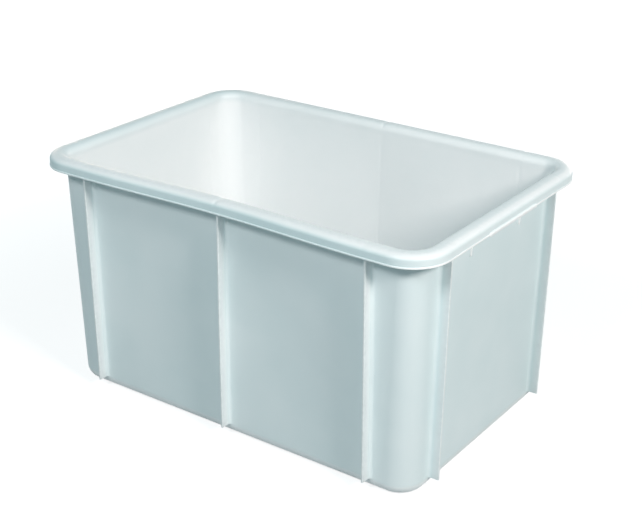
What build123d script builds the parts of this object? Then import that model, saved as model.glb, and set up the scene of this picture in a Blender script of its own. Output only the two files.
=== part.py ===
from build123d import *
import math
import os

# Stacking crate: one thin-walled polyethylene moulding, divided into its named features.
# Millimetres. X is the long way, Y is the short way, Z is up. The origin is on the ground, under the
# middle of the crate. The front is the long side at -Y, the right is the short side at +X.
#
# A cut through any side is drawn in two coordinates: inset, which runs inward from the outer edge of
# the rim, and height, which runs up from the ground.

# Overall size, over the rim
length = 600.0
width = 400.0
height = 330.0

# Thickness of the moulding
wall = 3.0

# Rim: a roll whose outer slope bends down into a skirt. The skirt hangs outside the walls and ends in a
# fine bead. The slope's angle is where it meets the bend, in degrees.
rim_corner_radius = 51.0
rim_depth = 16.0
rim_inner_round = 10.0
rim_flat = 2.3
rim_slope_run = 12.0
rim_slope_angle = 25.0
rim_outer_round = 5.5
bead_height = 2.5
bead_proud = 0.7

# Base: it drops into the rim of the crate below, until the ends of the ribs sit on that rim
nest_clearance = 1.0
base_round = 16.0
base_corner_radius = 35.0

# Ribs on the outside of the walls, three on a long side and two on a short side
rib_thickness = 3.0
rib_skirt_gap = 3.3
rib_root_fillet = 4.5
rib_tip_round = 1.2
rib_land = 0.5
long_corner_flat = 16.0
short_corner_flat = 3.0

# Finger grip: a strip along the foot of the skirt on each short side
grip_length = 120.0
grip_hang = 1.2
grip_lap = 4.6
grip_proud = 1.2
grip_edge_round = 0.6

# Web under the rim at each end of a grip
web_thickness = 3.0
web_drop = 30.0
web_toe = 2.5

# Insets and heights that follow from the sizes above
skirt_face = bead_proud
skirt_back = skirt_face + wall
crown_start = skirt_face + rim_slope_run
crown_end = crown_start + rim_flat
rim_width = crown_end + rim_inner_round
neck_inset = rim_width - wall
seam = height - rim_depth
base_inset = rim_width + nest_clearance
toe_inset = base_inset + base_round
shoulder = base_round
rib_depth = neck_inset - skirt_back - rib_skirt_gap
rib_tip_inset = neck_inset - rib_depth

# The rim's slope is an arc that leaves the crown level, and the bend carries it on into the skirt
slope_turn = math.radians(rim_slope_angle)
bend_start = skirt_face + rim_outer_round * (1 - math.sin(slope_turn))
slope_round = (crown_start - bend_start) / math.sin(slope_turn)
slope_drop = slope_round * (1 - math.cos(slope_turn))
skirt_top = height - slope_drop - rim_outer_round * math.cos(slope_turn)
slope_centre = (crown_start, height - slope_round)
bend_centre = (skirt_face + rim_outer_round, skirt_top)

# The walls lean out from the base to the rim by this much
lean_out = base_inset - neck_inset
lean_rise = seam - shoulder
lean = Vector(0, -lean_out, lean_rise)

# Plan positions of the ribs, set back from where the corners start to turn
corner_inset = max(base_inset + base_corner_radius, rim_corner_radius)
strip_half = rib_thickness / 2 + rib_root_fillet + rib_land
long_rib = length / 2 - corner_inset - long_corner_flat - strip_half
short_rib = width / 2 - corner_inset - short_corner_flat - strip_half

# Name of a side, its turn about Z, the crate's size across it, its own length,
# its two ends and where its ribs stand
sides = [
    ("front", 0, width, length, ("left", "right"), [-long_rib, 0, long_rib]),
    ("right", 90, length, width, ("front", "back"), [-short_rib, short_rib]),
    ("back", 180, width, length, ("right", "left"), [-long_rib, 0, long_rib]),
    ("left", 270, length, width, ("back", "front"), [-short_rib, short_rib]),
]


def side_plane(across, along=0.0):
    """Plane of a cut through the front side: local X is the inset and local Y is the height."""
    return Plane(origin=(along, -across / 2, 0), x_dir=(0, 1, 0), z_dir=(1, 0, 0))


def wall_inset(level):
    """Inset of the outer face of a leaning wall at a height."""
    return neck_inset + lean_out * (seam - level) / lean_rise


def channel_edges():
    """Inside of the rim's roll, from the foot of the skirt over to the wall."""
    inner_centre = (crown_end, height - rim_inner_round)
    return [
        Line((skirt_back, seam), (skirt_back, skirt_top)),
        CenterArc(bend_centre, rim_outer_round - wall, 180, rim_slope_angle - 90),
        CenterArc(slope_centre, slope_round - wall, 90 + rim_slope_angle, -rim_slope_angle),
        Line((crown_start, height - wall), (crown_end, height - wall)),
        CenterArc(inner_centre, rim_inner_round - wall, 90, -90),
        Line((neck_inset, height - rim_inner_round), (neck_inset, seam)),
    ]


def channel_section():
    """Open space under the rim's roll."""
    return make_face(channel_edges() + [Line((neck_inset, seam), (skirt_back, seam))])


def rim_section():
    """Hook-shaped cut through the rim: neck, roll, skirt and bead."""
    inner_centre = (crown_end, height - rim_inner_round)
    bead_top = seam + bead_height
    outside = [
        Line((neck_inset, seam), (rim_width, seam)),
        Line((rim_width, seam), (rim_width, height - rim_inner_round)),
        CenterArc(inner_centre, rim_inner_round, 0, 90),
        Line((crown_end, height), (crown_start, height)),
        CenterArc(slope_centre, slope_round, 90, rim_slope_angle),
        CenterArc(bend_centre, rim_outer_round, 90 + rim_slope_angle, 90 - rim_slope_angle),
        Line((skirt_face, skirt_top), (skirt_face, bead_top)),
        ThreePointArc((skirt_face, bead_top), (0, seam + bead_height / 2), (skirt_face, seam)),
        Line((skirt_face, seam), (skirt_back, seam)),
    ]
    return make_face(outside + channel_edges())


def base_edge_section():
    """Quarter-round cut through the bottom edge, of the same thickness as the walls."""
    centre = (toe_inset, base_round)
    return make_face([
        CenterArc(centre, base_round, 180, 90),
        Line((toe_inset, 0), (toe_inset, wall)),
        CenterArc(centre, base_round - wall, 270, -90),
        Line((base_inset + wall, base_round), (base_inset, base_round)),
    ])


def grip_section():
    """Thickened lip that hangs from the skirt and laps over its bead."""
    top = seam + grip_lap
    bottom = seam - grip_hang
    ledge = top - grip_proud - skirt_face
    outline = Polyline(
        (skirt_back, top),
        (skirt_face, top),
        (-grip_proud, ledge),
        (-grip_proud, bottom),
        (skirt_back, bottom),
        close=True,
    )
    lip = make_face(outline)
    foot = lip.vertices().group_by(Axis.Y)[0]
    return fillet(foot, grip_edge_round) - rim_section()


def web_section():
    """Tapered web between the wall and the rim, up into the rim's roll."""
    toe_level = seam - web_drop
    blade = make_face(Polyline(
        (neck_inset, seam),
        (rib_tip_inset, seam),
        (wall_inset(toe_level) - web_toe, toe_level),
        (wall_inset(toe_level), toe_level),
        close=True,
    ))
    head_size = neck_inset - rib_tip_inset
    head = Pos(rib_tip_inset, seam) * Rectangle(head_size, height - seam, align=(Align.MIN, Align.MIN))
    return blade + (channel_section() & head)


def rib_plan():
    """Plan of a rib with its strip of wall, drawn with the wall's outer face on the X axis."""
    strip = Pos(0, wall / 2) * Rectangle(2 * strip_half, wall)
    fin = Pos(0, -rib_depth / 2) * Rectangle(rib_thickness, rib_depth)
    plan = strip + fin
    tip = plan.vertices().group_by(Axis.Y)[0]
    plan = fillet(tip, rib_tip_round)
    root = [v for v in plan.vertices() if abs(v.Y) < rib_tip_round / 2 and abs(v.X) < rib_thickness]
    return fillet(root, rib_root_fillet)


def make_rib(across, along):
    """A rib that follows the wall and runs on up into the roll of the rim."""
    plan = rib_plan()
    post = extrude(Pos(along, wall_inset(shoulder) - across / 2, shoulder) * plan, lean.length, dir=lean)
    above = extrude(Pos(along, neck_inset - across / 2, seam) * plan, height - seam)
    roll = extrude(side_plane(across, along) * channel_section(), strip_half, both=True)
    return post + (above & roll)


def make_wall(across, start, end):
    """A flat bay of wall between two ribs."""
    foot = Rectangle(end - start, wall)
    middle = (start + end) / 2
    return extrude(Pos(middle, base_inset + wall / 2 - across / 2, shoulder) * foot, lean.length, dir=lean)


def straight_run(section, across, run):
    """A cut drawn along the middle of a side."""
    return extrude(side_plane(across) * section, run / 2, both=True)


def corner_turn(section, radius):
    """A cut turned round the front right corner."""
    centre = Vector(length / 2 - radius, radius - width / 2, 0)
    return revolve(side_plane(width, centre.X) * section, Axis(centre, (0, 0, 1)), 90)


def corner_plan(inset, radius, level):
    """Plan of the front right wall corner at one height, from rib to rib."""
    east = length / 2 - inset
    south = inset - width / 2
    long_end = long_rib + strip_half
    short_end = -short_rib - strip_half
    centre = (east - radius, south + radius)
    plan = make_face([
        Line((long_end, south), (east - radius, south)),
        CenterArc(centre, radius, 270, 90),
        Line((east, south + radius), (east, short_end)),
        Line((east, short_end), (east - wall, short_end)),
        Line((east - wall, short_end), (east - wall, south + radius)),
        CenterArc(centre, radius - wall, 0, -90),
        Line((east - radius, south + wall), (long_end, south + wall)),
        Line((long_end, south + wall), (long_end, south)),
    ])
    return Pos(0, 0, level) * plan


def make_wall_corner():
    """The front right wall corner, which opens out from the base to the rim."""
    foot = corner_plan(base_inset, base_corner_radius, shoulder)
    head = corner_plan(neck_inset, rim_corner_radius - neck_inset, seam)
    return loft([foot, head], ruled=True)


def four_corners(name, part):
    """A front right corner and its copies at the other three corners."""
    return {
        f"{name}_front_right": part,
        f"{name}_front_left": mirror(part, about=Plane.YZ),
        f"{name}_back_right": mirror(part, about=Plane.XZ),
        f"{name}_back_left": Rot(0, 0, 180) * part,
    }


def make_floor():
    """Flat panel inside the rounded bottom edge."""
    radius = base_corner_radius - base_round
    return extrude(RectangleRounded(length - 2 * toe_inset, width - 2 * toe_inset, radius), wall)


def make_side(name, turn, across, along, ends, ribs):
    """Everything on one side between its corners, built at the front and turned into place."""
    pieces = {}
    rib_names = [ends[0], "middle", ends[1]] if len(ribs) == 3 else list(ends)
    for rib_name, place in zip(rib_names, ribs):
        pieces[f"rib_{name}_{rib_name}"] = make_rib(across, place)
    bay_names = [f"wall_{name}_{end}" for end in ends] if len(ribs) == 3 else [f"wall_{name}"]
    for bay_name, start, end in zip(bay_names, ribs, ribs[1:]):
        pieces[bay_name] = make_wall(across, start + strip_half, end - strip_half)
    pieces[f"rim_{name}"] = straight_run(rim_section(), across, along - 2 * rim_corner_radius)
    base_run = along - 2 * (base_inset + base_corner_radius)
    pieces[f"base_edge_{name}"] = straight_run(base_edge_section(), across, base_run)
    if name in ("left", "right"):
        pieces[f"grip_{name}"] = straight_run(grip_section(), across, grip_length)
        for end, place in zip(ends, (-grip_length / 2, grip_length / 2)):
            cut = side_plane(across, place) * web_section()
            pieces[f"web_{name}_{end}"] = extrude(cut, web_thickness / 2, both=True)
    return {node: Rot(0, 0, turn) * piece for node, piece in pieces.items()}


crate = {"floor": make_floor()}
for side in sides:
    crate.update(make_side(*side))
crate.update(four_corners("corner", make_wall_corner()))
crate.update(four_corners("rim_corner", corner_turn(rim_section(), rim_corner_radius)))
crate.update(four_corners("base_corner", corner_turn(base_edge_section(), base_inset + base_corner_radius)))

os.makedirs("parts", exist_ok=True)
for node, piece in crate.items():
    export_step(piece, f"parts/{node}.step")
print(f"{len(crate)} nodes, stack pitch {height - shoulder:.1f} mm")
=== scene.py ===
# %% [markdown]
# A stacking crate in moulded polyethylene
#
# Crates like this carry fruit from the tree to the shed. One is a single injection moulding: thin walls
# that lean out a little, a rolled rim, ribs on the outside and a rounded base that drops into the rim of
# the crate below. This lesson dresses the solid model of such a crate. Each feature becomes a mesh of its
# own, and all of them share one plastic, one soft light and one camera.
#
# The solid model comes first, as a frame that never moves. Its box is kept, because the dressed crate has
# to stay the same size.

# %% Load the solid model
import math
from collections import namedtuple

import bmesh
import bpy
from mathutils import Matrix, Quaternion, Vector


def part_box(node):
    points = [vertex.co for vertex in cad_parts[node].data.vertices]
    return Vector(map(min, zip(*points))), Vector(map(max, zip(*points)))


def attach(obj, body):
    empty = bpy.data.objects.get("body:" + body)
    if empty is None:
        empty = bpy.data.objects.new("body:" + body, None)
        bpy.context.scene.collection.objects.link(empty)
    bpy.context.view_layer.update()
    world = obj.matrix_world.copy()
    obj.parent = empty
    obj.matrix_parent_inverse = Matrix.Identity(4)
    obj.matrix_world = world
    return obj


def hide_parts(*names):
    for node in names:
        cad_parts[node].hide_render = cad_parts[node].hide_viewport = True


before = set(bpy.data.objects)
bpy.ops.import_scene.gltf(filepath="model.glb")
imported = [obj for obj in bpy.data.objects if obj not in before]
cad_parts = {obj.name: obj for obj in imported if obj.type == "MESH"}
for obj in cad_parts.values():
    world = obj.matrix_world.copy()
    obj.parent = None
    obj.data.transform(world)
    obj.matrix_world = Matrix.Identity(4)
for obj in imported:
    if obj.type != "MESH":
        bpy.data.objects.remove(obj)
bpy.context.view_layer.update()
print(len(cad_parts), "solids in the frame")

# %% [markdown]
# Measures
#
# Most sizes can be read off the solids, so the meshes follow the solid model if it changes. A cut through
# any side is drawn in two numbers, in millimetres: the inset, which runs inward from the rim's outer edge,
# and the height above the ground. What a box can't tell, such as the radius of a roll, is written down in
# the cell that needs it.

# %% Read the crate's sizes
MM = 0.001


def low(node):
    """Lowest corner of a solid, in millimetres."""
    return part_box(node)[0] / MM


def high(node):
    """Highest corner of a solid, in millimetres."""
    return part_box(node)[1] / MM


# The rim: its outer edge, its top, the seam where it meets the walls, its width and its corners
half_length = high("rim_right").x
half_width = -low("rim_front").y
top = high("rim_front").z
seam = low("rim_front").z
rim_width = half_width + high("rim_front").y
rim_radius = half_length - high("rim_front").x
# The walls and the base: their thickness, the neck under the rim and the round edge of the base
wall = high("floor").z
neck = rim_width - wall
shoulder = high("base_edge_front").z
base_inset = half_width + low("base_edge_front").y
toe_inset = half_width + high("base_edge_front").y
base_radius = half_length - base_inset - high("base_edge_front").x
# The ribs: the strip of wall that each one stands on, their depth, and their places on the sides
strip_half = high("rib_front_middle").x
rib_depth = neck - half_width - low("rib_front_middle").y
long_rib = high("rib_front_right").x - strip_half
short_rib = high("rib_right_back").y - strip_half
print(f"crate {2 * half_length:.0f} by {2 * half_width:.0f} by {top:.0f} mm, walls {wall:.1f} mm")

# %% [markdown]
# A moulding is never quite flat
#
# Plastic shrinks as it cools. A wide wall dishes by a few millimetres between its ribs, which bends the
# light across it, and a long side with nothing to hold its rim is drawn in at the middle. On this crate
# the front rim is drawn in and the back one is straight. Sculpting could do this by hand. A smooth formula
# does it better: it fades to nothing at the ribs, the rim and the base, so neighbouring pieces still meet.

# %% Let the moulding settle
wall_dish = 5.0
dish_power = 1.05
front_draw_in = 6.5
draw_in_power = 1.5
long_end = long_rib + strip_half
short_end = short_rib + strip_half
long_bay = long_rib - 2 * strip_half
short_bay = 2 * (short_rib - strip_half)


def limited(share):
    """A share, kept between 0 and 1."""
    return min(1, max(0, share))


def hump(share):
    """Smooth hump from 0 at both ends of a stretch to 1 at its middle, and 0 beyond them."""
    return math.sin(math.pi * limited(share)) ** dish_power


def settle(place):
    """Point of the cooled moulding, in metres, from its place in the mould, in millimetres."""
    x, y, z = place
    inward = wall_dish * hump((z - shoulder) / (seam - shoulder))
    if abs(y) > half_width - toe_inset:
        y -= math.copysign(inward * hump((abs(x) - strip_half) / long_bay), y)
    if abs(x) > half_length - toe_inset:
        x -= math.copysign(inward * hump(y / short_bay + 0.5), x)
    if y < toe_inset - half_width and abs(x) < long_end and z > shoulder:
        along = math.cos(math.pi / 2 * x / long_end) ** 2
        rise = (z - shoulder) / (top - shoulder)
        y += front_draw_in * along * rise ** draw_in_power
    return Vector((x, y, z)) * MM


print(f"walls dished by {wall_dish} mm, front rim drawn in by {front_draw_in} mm")

# %% [markdown]
# Outlines with rounded corners
#
# A mould is cut with round cutters, so no edge of a moulding is sharp. An outline is a short list of
# corners, each with its radius, and a helper turns every corner into an arc. A bevel modifier could round
# the edges too, but it gives all of them one width, and here the radii run from a fraction of a millimetre
# to 20.

# %% Helpers for outlines
arc_step = math.radians(9)
least_arc_steps = 3


def rounded(corners):
    """Points of a closed outline whose corners (across, up, radius) are turned into arcs."""
    points = []
    for k, (across, up, radius) in enumerate(corners):
        corner = Vector((across, up))
        before = (Vector(corners[k - 1][:2]) - corner).normalized()
        after = (Vector(corners[(k + 1) % len(corners)][:2]) - corner).normalized()
        if radius == 0:
            points.append(corner)
            continue
        half = before.angle(after) / 2
        centre = corner + (before + after).normalized() * radius / math.sin(half)
        spoke = corner + before * radius / math.tan(half) - centre
        last = corner + after * radius / math.tan(half) - centre
        turn = math.atan2(spoke.x * last.y - spoke.y * last.x, spoke.dot(last))
        steps = max(least_arc_steps, round(abs(turn) / arc_step))
        for i in range(steps + 1):
            cosine = math.cos(turn * i / steps)
            sine = math.sin(turn * i / steps)
            turned = Vector((spoke.x * cosine - spoke.y * sine, spoke.x * sine + spoke.y * cosine))
            points.append(centre + turned)
    return points


def divided(points, spacing):
    """The same closed outline with extra points, so that no stretch is longer than the spacing."""
    fine = []
    for k, point in enumerate(points):
        ahead = points[(k + 1) % len(points)]
        parts = max(1, math.ceil((ahead - point).length / spacing))
        fine += [point.lerp(ahead, i / parts) for i in range(parts)]
    return fine


def spread(start, end, spacing):
    """Evenly spaced places from start to end."""
    parts = max(1, math.ceil(abs(end - start) / spacing))
    return [start + (end - start) * i / parts for i in range(parts + 1)]


one_arc = rounded([(0, 0, 0), (9, 0, 0), (9, 9, 3)])
print("an outline of three corners and one arc has", len(one_arc), "points")

# %% [markdown]
# Rubbed places
#
# Each point of the crate gets two numbers for the plastic's finish, worked out from its place in the mould.
# The first says how much it is rubbed in use: rib tips, the crown of the rim and the foot wear first.
# Vertex paint could hold such numbers, but a formula gives them again when a size changes. It starts from
# how deep a point lies under the skin of the walls, where a rib that stands out has a depth below 0.

# %% Say where the crate is rubbed
rub_reach = 2.5
rib_rub_reach = 7.0
light_rub = 0.5


def between(start, end, share):
    """The value that lies a share of the way from start to end."""
    return start + (end - start) * share


def wall_plan(height):
    """Inset of the walls' outer face and radius of its corners, at a height."""
    share = limited((height - shoulder) / (seam - shoulder))
    return between(base_inset, neck, share), between(base_radius, rim_radius - neck, share)


def under_skin(x, y, z):
    """How deep a place lies under the outer skin of the walls and the base, in millimetres."""
    inset, radius = wall_plan(z)
    along = abs(x) - half_length + inset + radius
    across = abs(y) - half_width + inset + radius
    depth = radius - math.hypot(max(0, along), max(0, across)) - min(0, max(along, across))
    if z < shoulder:
        depth = shoulder - math.hypot(max(0, shoulder - depth), shoulder - z)
    return depth


def rubbed(x, y, z):
    """From 0 to 1, how much a place is rubbed by stacking, sliding and handling."""
    foot = 1 - z / rub_reach
    crown = 1 - (top - z) / rub_reach
    tip = 1 - (under_skin(x, y, z) + rib_depth) / rib_rub_reach if shoulder <= z < seam else 0
    return limited(max(light_rub * foot, light_rub * crown, tip))


print(f"rib tips rubbed over {rib_rub_reach} mm, crown and foot by {light_rub} over {rub_reach} mm")

# %% [markdown]
# Weathered places
#
# The second number mixes dust with painted shade and painted light. The outside is dusted and darkened, and
# the inside stays white, which paints it brighter, as light that comes through the thin walls would. The
# skirt of the long sides, the ribs of the short ones and the left end of the rim, the side away from the
# lamps, get more painted shade. Places left cleaner are painted lighter: the ridge of the rim and the bead
# get a painted highlight, and the grips, the webs beside them and the base edge get painted light. The ribs
# of the long sides stay lighter than the walls. An ambient occlusion node could find the hollows by itself,
# but plain rules by place set each amount here.

# %% Say where the crate is weathered and where shade or light is painted
# How much dust and painted shade each place gets, where a short side differs from a long one
wall_dust_and_shade = 0.54
base_dust_and_shade = 0.3
bead_dust_and_shade = 0.55
skirt_dust_and_shade = 0.8
short_skirt_dust_and_shade = 0.5
crown_dust_and_shade = 0.12
short_crown_dust_and_shade = 0.36
rib_dust_and_shade = 0.18
short_rib_dust_and_shade = 0.8
# Painted shade on the left end of the rim, the side away from the lamps
left_end_shade = 0.3
# Where the bead and the ridge of the rim are, both kept clean for a painted highlight
bead_proud = 0.7
ridge_inset = 7.0
ridge_drop = 1.5
ridge_level = top - ridge_drop
# How far a finish reaches, and how gently it fades into the next
ridge_fade = 4.0
side_fade = 75.0
root_reach = 7.2
root_fade = 4.0


def rim_dust_and_shade(inset, height, short_side, left_shade):
    """Dust and painted shade above the seam, darkest on the skirt, with the ridge left clean for a painted
    highlight.
    """
    if inset < ridge_inset:
        skirt = between(skirt_dust_and_shade, short_skirt_dust_and_shade, short_side)
        return left_shade + skirt * limited((ridge_level - height) / ridge_fade)
    crown = between(crown_dust_and_shade, short_crown_dust_and_shade, short_side) + left_shade
    return crown * limited((inset - ridge_inset) / ridge_fade) * (height - seam) / (top - seam)


def weathered_and_shaded(x, y, z):
    """Dust and painted shade, from 0 on the inside to about 1 on the outside, and less where a place is
    painted lighter.
    """
    depth = under_skin(x, y, z)
    inset = depth + neck
    short_side = limited((abs(x) - half_length + side_fade) / side_fade)
    left_shade = left_end_shade * short_side if x < 0 else 0
    on_bead = inset < bead_proud / 2
    on_web = depth < -bead_proud and abs(y) < short_bay / 2
    # Painted highlight: the bead and the grips over it are cleaner, and clean on a short side
    if on_bead:
        return bead_dust_and_shade * (1 - short_side)
    if z > seam:
        return rim_dust_and_shade(inset, z, short_side, left_shade)
    # Painted light: the inside stays white, as light coming through the thin walls would make it
    if depth >= wall / 2:
        return 0
    # Painted light: the base edge is less dark than the walls, against the shade near the ground
    if z < shoulder:
        return base_dust_and_shade
    # Painted light: the webs are left clean, against the rim's shadow on them
    if on_web:
        return 0
    # Painted shade on the ribs of the short sides; the ribs of the long sides stay lighter than the walls
    flank = limited((rib_depth + depth) / root_fade)
    rib = between(rib_dust_and_shade, short_rib_dust_and_shade, short_side * flank)
    return max(rib, wall_dust_and_shade * limited((root_reach + depth) / root_fade))


print(f"walls weathered by {wall_dust_and_shade}, the skirt of a long side by {skirt_dust_and_shade}")

# %% [markdown]
# From rings to a closed skin
#
# Every piece here is a stack of rings with the same number of points: cuts through the rim one after the
# other, or plans of a rib one above the other. Joining ring to ring and closing both ends gives a
# watertight mesh, which is what a maker would want to print or mill. Bridging edge loops by hand gives the
# same mesh, but can't be repeated when a size changes.

# %% Helper that skins rings
smooth_limit = math.radians(35)
crate = []


def moulding(name, node, rings):
    """Adds to the crate a closed smooth mesh through the rings, standing for one solid of the frame."""
    count = len(rings[0])
    places = [place for ring in rings for place in ring]
    faces = [tuple(range(count)), tuple(range(len(places) - count, len(places)))]
    for start in range(0, len(places) - count, count):
        for i in range(count):
            j = (i + 1) % count
            faces.append((start + i, start + j, start + count + j, start + count + i))
    mesh = bpy.data.meshes.new(name)
    mesh.from_pydata([settle(place) for place in places], [], faces)
    skin = bmesh.new()
    skin.from_mesh(mesh)
    bmesh.ops.recalc_face_normals(skin, faces=skin.faces)
    skin.to_mesh(mesh)
    skin.free()
    mesh.shade_smooth()
    mesh.set_sharp_from_angle(angle=smooth_limit)
    for finish in (rubbed, weathered_and_shaded):
        values = mesh.attributes.new(finish.__name__, "FLOAT", "POINT")
        values.data.foreach_set("value", [finish(*place) for place in places])
    piece = bpy.data.objects.new(name, mesh)
    bpy.context.collection.objects.link(piece)
    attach(piece, "root")
    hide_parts(node)
    crate.append(piece)


# %% [markdown]
# Sides and corners
#
# The crate has four sides and four corners that repeat. A station is one place along a side, or one angle
# of a corner: it turns an inset and a height into a point. An outline that is set down at one station after
# the other is a sweep. A mirror modifier could repeat a side too, but it keeps both copies in one mesh, and
# here each piece stands for a solid of its own.

# %% Stations on the sides and round the corners
Side = namedtuple("Side", "quarter_turns half_across half_along ribs")
long_ribs = [-long_rib, 0, long_rib]
short_ribs = [-short_rib, short_rib]
sides = {
    "front": Side(0, half_width, half_length, long_ribs),
    "right": Side(1, half_length, half_width, short_ribs),
    "back": Side(2, half_width, half_length, long_ribs),
    "left": Side(3, half_length, half_width, short_ribs),
}
corner_flips = {
    "front_right": (1, 1),
    "front_left": (-1, 1),
    "back_right": (1, -1),
    "back_left": (-1, -1),
}
corner_angles = spread(0, math.pi / 2, math.radians(3))


def on_side(side, along, inset, height):
    """Point of a side: along it to the right as seen from outside, inward, and up."""
    x, y = along, inset - sides[side].half_across
    for _ in range(sides[side].quarter_turns):
        x, y = -y, x
    return Vector((x, y, height))


def flipped(corner, x, y, height):
    """Point of a corner, from the same point of the front right corner."""
    flip_x, flip_y = corner_flips[corner]
    return Vector((x * flip_x, y * flip_y, height))


def on_corner(corner, angle, radius, inset, height):
    """Point of a round corner, whose outer edge has the radius. Angle 0 is at the long side."""
    x = half_length - radius + (radius - inset) * math.sin(angle)
    y = radius - half_width - (radius - inset) * math.cos(angle)
    return flipped(corner, x, y, height)


def along_side(side, stations, outline):
    """Rings of an outline swept along a side."""
    return [[on_side(side, along, *spot) for spot in outline] for along in stations]


def round_corner(corner, radius, outline):
    """Rings of an outline swept round a corner."""
    return [[on_corner(corner, angle, radius, *spot) for spot in outline] for angle in corner_angles]


print(len(corner_angles), "stations round each corner")

# %% [markdown]
# Rim
#
# The rim is a roll that stiffens the open top. Outside its level crown an easy slope runs down to a ridge,
# where the roll bends into a skirt that hangs outside the walls and ends in a fine bead. A curve with a
# bevel profile could draw it, but a sweep of rings lets the roll sink a little where a rib meets it below:
# the thick spot there shrinks more than the rest, and leaves a faint crease.

# %% Draw a cut through the rim
rim_inner_round = 10.0
rim_outer_round = 5.5
slope_start = 8.0
slope_turn = math.radians(25)
slope_round = 20.0
bead_height = 2.5
bead_hollow_round = 0.3
bead_top_round = 0.5
bead_foot_round = 0.6
skirt_edge_round = 0.8
rim_outline_spacing = 4.0
skirt_back = bead_proud + wall
skirt_corner = top - (slope_start - bead_proud) * math.tan(slope_turn)
channel_start = slope_start + wall * math.tan(slope_turn / 2)
channel_corner = skirt_corner - wall * math.tan(math.pi / 4 - slope_turn / 2)
rim_outline = divided(rounded([
    (neck, seam, 0),
    (rim_width, seam, 0),
    (rim_width, top, rim_inner_round),
    (slope_start, top, slope_round),
    (bead_proud, skirt_corner, rim_outer_round),
    (bead_proud, seam + bead_height, bead_hollow_round),
    (0, seam + bead_height - bead_proud, bead_top_round),
    (0, seam, bead_foot_round),
    (skirt_back, seam, skirt_edge_round),
    (skirt_back, channel_corner, rim_outer_round - wall),
    (channel_start, top - wall, slope_round - wall),
    (neck, top - wall, rim_inner_round - wall),
]), rim_outline_spacing)
print(len(rim_outline), "points round the cut")

# %% Sweep the rim
sink_depth = 0.4
middle_sink = 1.0
sink_reach = 2.6
sink_steps = 5
rim_spacing = 12.0


def sink(along, ribs):
    """Depth of the crease over the nearest rib, which is deepest at the middle of a long side."""
    depth = 0
    for rib in ribs:
        depth += (sink_depth if rib else middle_sink) * math.exp(-((along - rib) / sink_reach) ** 2)
    return depth


def rim_stations(run, ribs):
    """Places along a rim, closer together over each rib."""
    places = set(spread(-run, run, rim_spacing))
    for rib in ribs:
        places |= {rib + step * sink_reach / 2 for step in range(-sink_steps, sink_steps + 1)}
    return sorted(place for place in places if abs(place) <= run)


for side, shape in sides.items():
    rings = []
    for along in rim_stations(shape.half_along - rim_radius, shape.ribs):
        dip = sink(along, shape.ribs)
        ring = []
        for inset, height in rim_outline:
            share = max(0, (height - seam - bead_height) / (top - seam - bead_height))
            ring.append(on_side(side, along, inset, height - dip * share))
        rings.append(ring)
    moulding(f"{side}_rim", f"rim_{side}", rings)
for corner in corner_flips:
    rings = round_corner(corner, rim_radius, rim_outline)
    moulding(f"{corner}_rim_corner", f"rim_corner_{corner}", rings)
print(len(crate), "rim pieces")

# %% [markdown]
# Walls
#
# The walls lean out by under a degree, so that the moulding slides off its core. Each bay between two ribs
# is a sheet as thick as the rest, swept from one rib to the next. A plane would do for its flat faces, but
# the sheet needs points all over so that it can dish when it settles.

# %% Sweep the walls
wall_spacing = 12.0
wall_outline = divided([
    Vector((neck, seam)),
    Vector((base_inset, shoulder)),
    Vector((base_inset + wall, shoulder)),
    Vector((rim_width, seam)),
], wall_spacing)
bays = {
    "front": ("front_left", "front_right"),
    "back": ("back_right", "back_left"),
    "right": ("right",),
    "left": ("left",),
}
for side, names in bays.items():
    ribs = sides[side].ribs
    for bay, start_rib, end_rib in zip(names, ribs, ribs[1:]):
        stations = spread(start_rib + strip_half, end_rib - strip_half, wall_spacing)
        moulding(f"{bay}_wall", f"wall_{bay}", along_side(side, stations, wall_outline))
print(len(crate), "pieces with the walls")

# %% [markdown]
# Wall corners
#
# From the last rib of a side the wall runs straight on, bends and runs straight to the first rib of the
# next side. The bend is wider at the base than at the rim, so that the base of one crate drops into the rim
# of another. A sweep with one radius can't open out like that, so each point is worked out from its height.

# %% Sweep the wall corners
wall_sheet = divided([
    Vector((0, seam)),
    Vector((0, shoulder)),
    Vector((wall, shoulder)),
    Vector((wall, seam)),
], wall_spacing)
ways = [0, 0.5] + [1 + angle * 2 / math.pi for angle in corner_angles] + [2.5, 3]


def wall_corner_point(corner, way, depth, height):
    """Point of a wall corner, at a depth under its outer face. The way along it runs from 0 to 1 on the
    long side's flat, to 2 round the bend and to 3 on the short side's flat."""
    inset, radius = wall_plan(height)
    angle = math.pi / 2 * limited(way - 1)
    x = half_length - inset - radius + (radius - depth) * math.sin(angle)
    y = inset - half_width + radius - (radius - depth) * math.cos(angle)
    if way < 1:
        x = between(long_end, x, way)
    if way > 2:
        y = between(y, -short_end, way - 2)
    return flipped(corner, x, y, height)


for corner in corner_flips:
    rings = [[wall_corner_point(corner, way, *spot) for spot in wall_sheet] for way in ways]
    moulding(f"{corner}_wall_corner", f"corner_{corner}", rings)
print(len(crate), "pieces with the wall corners")

# %% [markdown]
# Base edge
#
# The bottom edge is a quarter round as thick as the walls, which guides the crate into the rim of another.
# A bevel on the bottom of a box would round the outside only. A sweep of one cut along the sides and round
# the corners rounds the inside with it.

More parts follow.
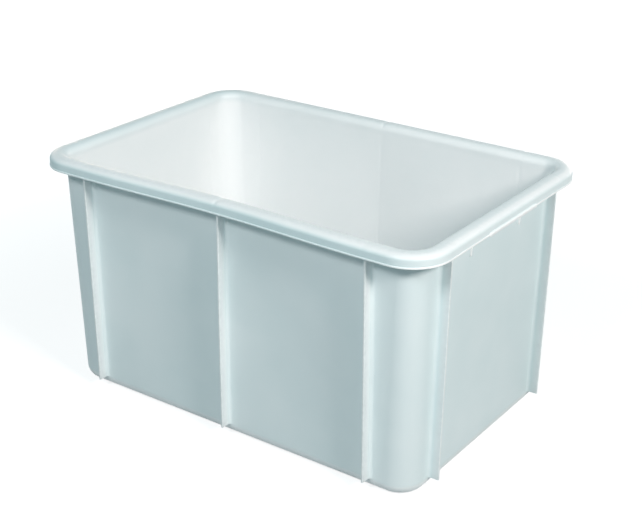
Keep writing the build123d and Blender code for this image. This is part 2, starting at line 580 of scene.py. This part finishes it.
# %% Sweep the base edge
base_spacing = 24.0
base_turn = base_inset + base_radius
base_outline = rounded([
    (base_inset, shoulder, 0),
    (base_inset, 0, shoulder),
    (toe_inset, 0, 0),
    (toe_inset, wall, 0),
    (base_inset + wall, wall, shoulder - wall),
    (base_inset + wall, shoulder, 0),
])
for side, shape in sides.items():
    stations = spread(base_turn - shape.half_along, shape.half_along - base_turn, base_spacing)
    moulding(f"{side}_base_edge", f"base_edge_{side}", along_side(side, stations, base_outline))
for corner in corner_flips:
    rings = round_corner(corner, base_turn, base_outline)
    moulding(f"{corner}_base_corner", f"base_corner_{corner}", rings)
print(len(crate), "pieces with the base edge")

# %% [markdown]
# Floor panel
#
# The floor is a panel inside the rounded edge, domed up by a millimetre so that the crate doesn't rock. In
# the middle of its underside is the mark of the gate, where the plastic was let into the mould: a shallow
# dimple with a nub. A boolean could cut it, but would leave long thin faces. Here the rings of the floor
# shrink from the panel's outline to a circle, and a few rings more draw the mark.

# %% Lay the floor panel
floor_dome = 1.0
floor_steps = 12
outline_kept = 0.8
# Radius and height of each ring of the gate mark, from the rim of the dimple in to the tip of the nub
gate_mark = [(10.08, 0), (9.0, 0.12), (8.1, 0.8), (2.86, 0.8), (2.2, 0.56), (1.76, 0.2), (0.66, 0.16)]
panel_x, panel_y = half_length - toe_inset, half_width - toe_inset
panel_round = base_radius - shoulder
panel = divided(rounded([
    (-panel_x, -panel_y, panel_round),
    (panel_x, -panel_y, panel_round),
    (panel_x, panel_y, panel_round),
    (-panel_x, panel_y, panel_round),
]), base_spacing)


def floor_ring(share, height):
    """Outline of the floor shrunk to a share of its size, and to a circle near the middle."""
    ring = []
    for spot in panel:
        circle = spot.normalized() * panel_y
        spot = circle.lerp(spot, min(1, share / outline_kept)) * share
        ring.append(Vector((spot.x, spot.y, height + floor_dome * (1 - share * share))))
    return ring


outward = [i / floor_steps for i in range(1, floor_steps + 1)]
rings = [floor_ring(radius / panel_y, height) for radius, height in reversed(gate_mark)]
rings += [floor_ring(share, 0) for share in outward]
rings += [floor_ring(share, wall) for share in reversed(outward)]
moulding("floor_panel", "floor", rings)
print(len(crate), "pieces with the floor")

# %% [markdown]
# Fins
#
# Ribs and webs are both fins: thin blades with a rounded tip, and a fillet where they leave the wall,
# because melt flows badly round a sharp corner. A bevelled box could be a fin too, but it wouldn't follow a
# leaning wall up into a round rim. So a fin is drawn as plans stacked one above the other. A shallow one
# has no room for the full radii, and they are held to a share of its depth. Trimming the lowest plans
# rounds the fin's end, and above the seam the plans rise until they enter the roll of the rim by a hair.

# %% Helpers for the plan of a fin
rib_thickness = 3.0
rib_root = 4.5
rib_tip = 1.2
root_share = 0.6
tip_share = 0.35
end_round = 0.8
end_shares = (0, 0.1, 0.3, 0.6, 1)


def fin_plan(depth, trim):
    """Plan of a fin from one root to the other, (along, inset), with its edges trimmed back by a hair."""
    half = rib_thickness / 2 - trim
    reach = depth - trim
    root = min(rib_root + trim, root_share * reach)
    tip = min(rib_tip - trim / 2, tip_share * reach)
    left = [(-half - root, 0, 0), (-half, 0, root), (-half, -reach, tip)]
    right = [(-along, inset, radius) for along, inset, radius in reversed(left)]
    return rounded(left + right)[1:-1]


def fin_end(level):
    """How far the edges at a fin's lower end are trimmed back to round them, at a level above the end."""
    if level >= end_round:
        return 0
    return end_round - math.sqrt(end_round ** 2 - (end_round - level) ** 2)


def fin_levels(foot, spacing):
    """Heights of a fin's plans from its foot to the seam, close together where its end is rounded."""
    return [foot + end_round * share for share in end_shares] + spread(foot + spacing, seam, spacing)


print(len(fin_plan(rib_depth, 0)), "points round the plan of a rib")

# %% Helpers that set a fin on its wall and in the rim
into_roll = 0.6
roll_shares = (0.02, 0.25, 0.5, 0.75, 1)


def on_wall(side, middle, outline, height):
    """Ring of a fin below the seam, on the outer face of the wall."""
    face, _ = wall_plan(height)
    return [on_side(side, middle + along, face + inset, height) for along, inset in outline]


def roll_ceiling(inset):
    """Height of the roll's inside over an inset."""
    outer = max(0, slope_start + slope_round * math.tan(slope_turn / 2) - inset)
    inner = max(0, inset - rim_width + rim_inner_round)
    drop_out = slope_round - wall - math.sqrt((slope_round - wall) ** 2 - outer ** 2)
    drop_in = rim_inner_round - wall - math.sqrt(max(0, (rim_inner_round - wall) ** 2 - inner ** 2))
    return top - wall - max(drop_out, drop_in)


def in_roll(side, middle, outline, share):
    """Ring of a fin above the seam, raised by a share of its way into the roll."""
    ring = []
    for along, inset in outline:
        inset += neck
        ceiling = roll_ceiling(min(inset, neck)) + into_roll
        ring.append(on_side(side, middle + along, inset, between(seam, ceiling, share)))
    return ring


print(f"the roll's inside is {roll_ceiling(neck - rib_depth):.1f} mm up over the tip of a rib")

# %% [markdown]
# Ribs and webs
#
# The ribs stiffen the walls, and their cut-off lower ends stand on the rim of the crate below. Each has its
# strip of wall with it. The inner face of the strip is drawn in by a hair, because the fin behind it
# shrinks: that is the faint line inside the crate. Above the seam the strip narrows to stay hidden in the
# rim. A web is a short fin that props up the rim at the end of a grip. It is shallow at its foot and flares
# out under the skirt. One mirrored fin could serve for all of them, but each is made in its place, so that
# it settles with the wall around it.

# %% Helpers for ribs and webs
inside_sink = 0.4
strip_spacing = 1.0
strip_stops = spread(strip_half, -strip_half, strip_spacing)
web_foot = low("web_right_back").z
web_place = (low("web_right_back").y + high("web_right_back").y) / 2
web_toe = 2.2
web_flare = 8
web_spacing = 3.0


def rib_rings(side, middle):
    """Plans of a rib with its strip of wall, from the shoulder to the seam, and on inside the rim."""
    sunk = [wall - inside_sink * math.exp(-(along / sink_reach) ** 2) for along in strip_stops]
    inner_face = [Vector(spot) for spot in zip(strip_stops, sunk)]
    rings = []
    for height in fin_levels(shoulder, wall_spacing):
        plan = fin_plan(rib_depth, fin_end(height - shoulder))
        outline = [Vector((-strip_half, 0))] + plan + [Vector((strip_half, 0))] + inner_face
        rings.append(on_wall(side, middle, outline, height))
    hidden = strip_half - into_roll
    inner_face = [Vector((along * hidden / strip_half, wall - into_roll)) for along in strip_stops]
    outline = [Vector((-hidden, into_roll))] + plan + [Vector((hidden, into_roll))] + inner_face
    return rings + [in_roll(side, middle, outline, share) for share in roll_shares]


def web_rings(side, middle):
    """Plans of a web, from its foot on the wall up into the roll."""
    rings = []
    for height in fin_levels(web_foot, web_spacing):
        flare = ((height - web_foot) / (seam - web_foot)) ** web_flare
        plan = fin_plan(between(web_toe, rib_depth, flare), fin_end(height - web_foot))
        outline = plan + [Vector((0, into_roll))]
        rings.append(on_wall(side, middle, outline, height))
    return rings + [in_roll(side, middle, outline, share) for share in roll_shares]


print(f"webs {seam - web_foot:.0f} mm tall below the rim, {web_place:.0f} mm either side of the middle")

# %% Stack the ribs and the webs
rib_names = {
    "front": ("left", "middle", "right"),
    "back": ("right", "middle", "left"),
    "right": ("front", "back"),
    "left": ("back", "front"),
}
for side, names in rib_names.items():
    for name, middle in zip(names, sides[side].ribs):
        moulding(f"{side}_{name}_rib", f"rib_{side}_{name}", rib_rings(side, middle))
    if side in ("right", "left"):
        for name, middle in zip(names, (-web_place, web_place)):
            moulding(f"{side}_{name}_web", f"web_{side}_{name}", web_rings(side, middle))
print(len(crate), "pieces with the ribs and webs")

# %% [markdown]
# Grips
#
# On each short side a strip along the foot of the skirt thickens it for the fingers. It laps up over the
# bead, and its ends are rounded off. A box with a bevel would be quicker, but its faces wouldn't follow the
# skirt. The sweep does: near each end the cut through the strip shrinks along a quarter circle.

# %% Sweep the grips
grip_half = high("grip_right").y
grip_proud = high("grip_right").x - half_length
grip_top = high("grip_right").z
grip_foot = low("grip_right").z
grip_root = 0.5
grip_root_round = 0.1
grip_lap_round = 0.3
grip_ledge_round = 0.8
grip_edge_round = 1.2
grip_end = 5.0
grip_end_steps = 8
least_end = 0.3


def grip_outline(share):
    """Cut through the strip, at a share of its full size. Its root lies inside the skirt."""
    proud = between(bead_proud, -grip_proud, share)
    upper = between(seam, grip_top, share)
    lower = between(seam, grip_foot, share)
    return rounded([
        (bead_proud + grip_root, seam + grip_root, 0),
        (bead_proud + grip_root, upper, grip_root_round),
        (bead_proud, upper, grip_lap_round * share),
        (proud, upper - (bead_proud - proud), grip_ledge_round * share),
        (proud, lower, grip_edge_round * share),
        (skirt_back, lower, grip_edge_round * share),
        (skirt_back, seam + grip_root, 0),
    ])


grip_stations = []
for i in range(grip_end_steps + 1):
    angle = math.pi / 2 * i / grip_end_steps
    inward = grip_end * (1 - math.cos(angle))
    grip_stations.append((inward - grip_half, max(math.sin(angle), least_end)))
grip_stations += [(-along, share) for along, share in reversed(grip_stations)]
for side in ("left", "right"):
    rings = []
    for along, share in grip_stations:
        rings.append([on_side(side, along, *spot) for spot in grip_outline(share)])
    moulding(f"{side}_grip", f"grip_{side}", rings)
print(len(crate), "pieces in the crate")

# %% [markdown]
# Materials
#
# A material is a tree of nodes, and one small function adds a node, sets it and links it. Colours are
# written as they look on a screen, as sRGB hex values. Blender reckons in linear light, so one function
# converts them. Patterns are noise in the crate's own millimetres, so that they run on across the pieces.
# A folder of ready materials would be quicker, but wouldn't know the sizes of this crate.

# %% Helpers for materials
pure_white = (1, 1, 1, 1)
# A Mix node keeps its number and colour sockets side by side, so they go by their places
number_a, number_b = 2, 3
colour_a, colour_b, colour_out = 6, 7, 2


def linear(hex_colour):
    """Linear colour of an sRGB hex value such as #C0FFEE, by the formula of the sRGB standard."""
    parts = [int(hex_colour[i:i + 2], 16) / 255 for i in (1, 3, 5)]
    return [p / 12.92 if p <= 0.04045 else ((p + 0.055) / 1.055) ** 2.4 for p in parts] + [1.0]


def noise_scale(size):
    """Scale that gives a noise features of a size in millimetres."""
    return 1 / (size * MM)


def add(tree, kind, inputs=None, **settings):
    """Adds a node, with its settings, and sets or links its inputs."""
    made = tree.nodes.new(kind)
    for name, value in settings.items():
        setattr(made, name, value)
    for socket, value in (inputs or {}).items():
        if isinstance(value, bpy.types.NodeSocket):
            tree.links.new(value, made.inputs[socket])
        else:
            made.inputs[socket].default_value = value
    return made


def emptied(owner):
    """Node tree of a material or a world, with its nodes taken out."""
    owner.use_nodes = True
    owner.node_tree.nodes.clear()
    return owner.node_tree


print("linear white is", linear("#FFFFFF")[:3])

# %% [markdown]
# White polyethylene
#
# High-density polyethylene is a waxy plastic, milky white with a cool cast where the light has passed
# through it more than once. Up close the eye finds a cloudy tone, and faint streaks where the melt flowed
# up the walls. A subsurface shader could give the milkiness. Two whites mixed by noise render faster, and
# look the same in other programs.

# %% Milky white with clouds and flow streaks
plastic_light = "#FAFCFC"
plastic_deep = "#F6F9F9"
cloud_size = 90.0
streak_width = 25.0
streak_length = 200.0
streak_share = 0.1
tone_low = 0.35
tone_high = 0.65

polyethylene = bpy.data.materials.new("moulded_polyethylene")
plastic_tree = emptied(polyethylene)
position = add(plastic_tree, "ShaderNodeTexCoord").outputs["Object"]
cloud = add(plastic_tree, "ShaderNodeTexNoise", {
    "Vector": position,
    "Scale": noise_scale(cloud_size),
    "Detail": 2.0,
})
along_flow = add(plastic_tree, "ShaderNodeVectorMath", {
    0: position,
    1: (1.0, 1.0, streak_width / streak_length),
}, operation="MULTIPLY")
streak = add(plastic_tree, "ShaderNodeTexNoise", {
    "Vector": along_flow.outputs[0],
    "Scale": noise_scale(streak_width),
})
drift = add(plastic_tree, "ShaderNodeMix", {
    "Factor": streak_share,
    number_a: cloud.outputs[0],
    number_b: streak.outputs[0],
})
tone = add(plastic_tree, "ShaderNodeMapRange", {
    "Value": drift.outputs[0],
    "From Min": tone_low,
    "From Max": tone_high,
})
milky = add(plastic_tree, "ShaderNodeMix", {
    "Factor": tone.outputs[0],
    colour_a: linear(plastic_deep),
    colour_b: linear(plastic_light),
}, data_type="RGBA")
print("whites from", plastic_deep, "to", plastic_light)

# %% [markdown]
# Dust, painted shade and rubbing
#
# Dust with painted shade dulls both the white and the sheen, and rubbed edges are a little greyer. Both
# follow the numbers stored with each point, and noise breaks them up, so that no edge looks ruled. The
# dusty colour is a darker, cool white: it is partly dust, and partly painted shade that stands in for the
# light that thin polyethylene lets through to the inside. A mask painted by hand could do the same, but
# would have to be painted again for each crate.

# %% Dust and painted shade on the outside, and rubbed edges
# A darker, cool white: partly dust, partly painted shade
plastic_dust_and_shade = "#AED1D5"
plastic_rubbed = "#D3DCDD"
most_dust = 0.85
least_dust = 0.65
full_dust = 0.8
scuff_size = 6.0
clean_roughness = 0.42
dusty_roughness = 0.52

# Dust and painted shade darken the white where the stored number is high
weather_and_shade = add(plastic_tree, "ShaderNodeAttribute", attribute_name="weathered_and_shaded")
dust = add(plastic_tree, "ShaderNodeMapRange", {
    "Value": cloud.outputs[0],
    "To Min": most_dust,
    "To Max": least_dust,
})
dusty_and_shaded = add(plastic_tree, "ShaderNodeMath", {
    0: weather_and_shade.outputs["Fac"],
    1: dust.outputs[0],
}, operation="MULTIPLY")
dulled_and_shaded = add(plastic_tree, "ShaderNodeMix", {
    "Factor": dusty_and_shaded.outputs[0],
    colour_a: milky.outputs[colour_out],
    colour_b: linear(plastic_dust_and_shade),
}, data_type="RGBA")
wear = add(plastic_tree, "ShaderNodeAttribute", attribute_name="rubbed")
scuff = add(plastic_tree, "ShaderNodeTexNoise", {
    "Vector": position,
    "Scale": noise_scale(scuff_size),
    "Detail": 4.0,
})
scuffed = add(plastic_tree, "ShaderNodeMath", {
    0: wear.outputs["Fac"],
    1: scuff.outputs[0],
}, operation="MULTIPLY")
worn = add(plastic_tree, "ShaderNodeMix", {
    "Factor": scuffed.outputs[0],
    colour_a: dulled_and_shaded.outputs[colour_out],
    colour_b: linear(plastic_rubbed),
}, data_type="RGBA")
sheen = add(plastic_tree, "ShaderNodeMapRange", {
    "Value": dusty_and_shaded.outputs[0],
    "From Max": full_dust,
    "To Min": clean_roughness,
    "To Max": dusty_roughness,
})
print("roughness from", clean_roughness, "where clean to", dusty_roughness, "where dusty")

# %% [markdown]
# Moulded skin
#
# The mould's steel was finely spark-eroded, so the skin is satin: it has a soft sheen and no mirror image.
# The grain of a real mould is about a third of a millimetre wide. That is less than half a pixel here, so
# it is drawn at two millimetres, just wide enough to show. Under it the skin is slightly wavy, like orange
# peel. Geometry that fine would take millions of faces, so both are bump.

# %% Grain, waviness and the finished plastic
grain_size = 2.0
grain_depth = 0.012
peel_size = 22.0
peel_depth = 0.05
polyethylene_ior = 1.54

peel = add(plastic_tree, "ShaderNodeTexNoise", {
    "Vector": position,
    "Scale": noise_scale(peel_size),
    "Detail": 1.0,
})
wavy = add(plastic_tree, "ShaderNodeBump", {
    "Height": peel.outputs[0],
    "Distance": peel_depth * MM,
    "Strength": 1.0,
})
grain = add(plastic_tree, "ShaderNodeTexNoise", {
    "Vector": position,
    "Scale": noise_scale(grain_size),
    "Detail": 2.0,
})
grained = add(plastic_tree, "ShaderNodeBump", {
    "Height": grain.outputs[0],
    "Normal": wavy.outputs[0],
    "Distance": grain_depth * MM,
    "Strength": 1.0,
})
plastic = add(plastic_tree, "ShaderNodeBsdfPrincipled", {
    "Base Color": worn.outputs[colour_out],
    "Roughness": sheen.outputs[0],
    "IOR": polyethylene_ior,
    "Normal": grained.outputs[0],
})
add(plastic_tree, "ShaderNodeOutputMaterial", {"Surface": plastic.outputs[0]})
for piece in crate:
    piece.data.materials.append(polyethylene)
print("material", polyethylene.name, "on", len(crate), "pieces")

# %% [markdown]
# A pale floor
#
# The crate stands on a sheet of matt paper. Paper has no gloss, so the eye finds only an even pale ground
# and a soft shadow. For the camera the paper glows a little, just enough to read as white all round, while
# it still takes that shadow. For the crate it is ordinary paper that throws some light back up. A floor
# that only catches shadows would be simpler, but the crate would lose the light from below.

# %% Matt paper
paper_colour = "#A9ABAC"
paper_roughness = 0.9
paper_glow = 0.78
glow_near = 0.4
glow_far = 1.4


def in_sight(tree):
    """Socket that is 1 for what the camera sees, also in gloss or through glass, and 0 for other light."""
    rays = add(tree, "ShaderNodeLightPath").outputs
    in_gloss = add(tree, "ShaderNodeMath", {
        0: rays["Is Camera Ray"],
        1: rays["Is Glossy Ray"],
    }, operation="MAXIMUM")
    through_glass = add(tree, "ShaderNodeMath", {
        0: in_gloss.outputs[0],
        1: rays["Is Transmission Ray"],
    }, operation="MAXIMUM")
    return through_glass.outputs[0]


paper = bpy.data.materials.new("matt_paper")
paper_tree = emptied(paper)
from_crate = add(paper_tree, "ShaderNodeVectorMath", {
    0: add(paper_tree, "ShaderNodeTexCoord").outputs["Object"],
}, operation="LENGTH")
fade = add(paper_tree, "ShaderNodeMapRange", {
    "Value": from_crate.outputs["Value"],
    "From Min": glow_near,
    "From Max": glow_far,
    "To Min": paper_glow,
    "To Max": 1.0,
}, interpolation_type="SMOOTHSTEP")
glow = add(paper_tree, "ShaderNodeMath", {
    0: in_sight(paper_tree),
    1: fade.outputs[0],
}, operation="MULTIPLY")
matt = add(paper_tree, "ShaderNodeBsdfPrincipled", {
    "Base Color": linear(paper_colour),
    "Roughness": paper_roughness,
    "Specular IOR Level": 0.0,
    "Emission Color": pure_white,
    "Emission Strength": glow.outputs[0],
})
add(paper_tree, "ShaderNodeOutputMaterial", {"Surface": matt.outputs[0]})
print("material", paper.name, "glows by", paper_glow, "near the crate")

# %% Lay the floor
floor_half = 8.0
ground = bpy.data.meshes.new("paper_floor")
ground_corners = [(-1, -1, 0), (1, -1, 0), (1, 1, 0), (-1, 1, 0)]
ground.from_pydata([Vector(corner) * floor_half for corner in ground_corners], [], [(0, 1, 2, 3)])
ground.materials.append(paper)
floor = bpy.data.objects.new("paper_floor", ground)
bpy.context.collection.objects.link(floor)
print(f"floor {2 * floor_half:.0f} m wide")

# %% [markdown]
# Soft studio light
#
# A key lamp on the right and above models the crate. It is half a metre wide, so the rim's shadow on the
# ribs is soft but still has a shape. A second lamp in front lights the inside, and two low ones behind
# light the sides that face away, since a crate is looked at from all round.
#
# Each lamp is given by its level: the share of full white that it alone gives to a white card that faces
# it. Working in levels keeps the sum at a plain brightness, where a colour renders about as it is written.
# Setting watts by eye would do too, but then moving a lamp would change its brightness.

# %% Set the lamps
centre_of_crate = Vector((0, 0, top * MM / 2))


def towards(azimuth, elevation):
    """Direction at an azimuth to the right of the front and an elevation, in degrees."""
    a, e = math.radians(azimuth), math.radians(elevation)
    return Vector((math.sin(a) * math.cos(e), -math.cos(a) * math.cos(e), math.sin(e)))


def softbox(name, azimuth, elevation, distance, size, level, colour):
    """A square area lamp that faces the crate from a direction. Distance and size are in metres."""
    lamp = bpy.data.lights.new(name, "AREA")
    lamp.shape = "SQUARE"
    lamp.size = size
    # Pi comes in twice: once for the spread of the lamp's light, and once for that of a matt card
    lamp.energy = level * math.pi ** 2 * distance ** 2
    lamp.color = linear(colour)[:3]
    box = bpy.data.objects.new(name, lamp)
    box.location = centre_of_crate + towards(azimuth, elevation) * distance
    box.rotation_mode = "QUATERNION"
    box.rotation_quaternion = towards(azimuth, elevation).to_track_quat("Z", "Y")
    bpy.context.collection.objects.link(box)
    print(name, "at level", level)


softbox("key_lamp", azimuth=74, elevation=33, distance=2.6, size=0.5, level=0.65, colour="#FBF0EC")
softbox("front_lamp", azimuth=6, elevation=40, distance=2.6, size=0.5, level=0.386, colour="#FDF8F8")
softbox("low_back_lamp", azimuth=180, elevation=2, distance=3.0, size=1.4, level=0.42, colour="#FFEEE8")
softbox("low_left_lamp", azimuth=-128, elevation=2, distance=3.0, size=1.4, level=0.24, colour="#FFE2D4")

# %% [markdown]
# A pale room
#
# The room around the crate fills the shade. The lamps are a touch warm and the room is cool, so that shade
# on the white plastic turns faintly blue, as in daylight. A picture of a real studio could light it too,
# but an even colour keeps the lesson in one file. The camera sees plain white instead of the room, and so
# does whatever mirrors it.

# %% Set the room
room_colour = "#80ECFC"
room_level = 0.19

room = bpy.data.worlds.new("pale_room")
bpy.context.scene.world = room
room_tree = emptied(room)
lit = add(room_tree, "ShaderNodeBackground", {"Color": linear(room_colour), "Strength": room_level})
white = add(room_tree, "ShaderNodeBackground", {"Color": pure_white, "Strength": 1.0})
mixed = add(room_tree, "ShaderNodeMixShader", {
    0: in_sight(room_tree),
    1: lit.outputs[0],
    2: white.outputs[0],
})
add(room_tree, "ShaderNodeOutputWorld", {"Surface": mixed.outputs[0]})
print(room.name, "at level", room_level)

# %% [markdown]
# Camera
#
# The view is that of the photograph: from the front and right, looking down a little, with a long lens.
# The lens comes from the focal length in pixels, because the photograph's frame is 642 pixels wide. Moving
# the camera by hand until the edges agree would work too, but numbers can be set again.

# %% Place the camera
frame_width = 642
focal_pixels = 1307.0
view_azimuth = 35.27
view_elevation = 24.18
view_roll = 0.34
view_distance = 1747.0
aim = Vector((20.9, 0.6, 181.4))

camera_data = bpy.data.cameras.new("view")
camera_data.lens = focal_pixels / frame_width * camera_data.sensor_width
camera = bpy.data.objects.new("view", camera_data)
bpy.context.collection.objects.link(camera)
bpy.context.scene.camera = camera
towards_camera = towards(view_azimuth, view_elevation)
camera.location = (aim + towards_camera * view_distance) * MM
camera.rotation_mode = "QUATERNION"
level_view = (-towards_camera).to_track_quat("-Z", "Y")
camera.rotation_quaternion = level_view @ Quaternion((0, 0, 1), math.radians(view_roll))
bpy.context.scene.view_settings.view_transform = "Standard"
print(f"lens {camera_data.lens:.1f} mm")
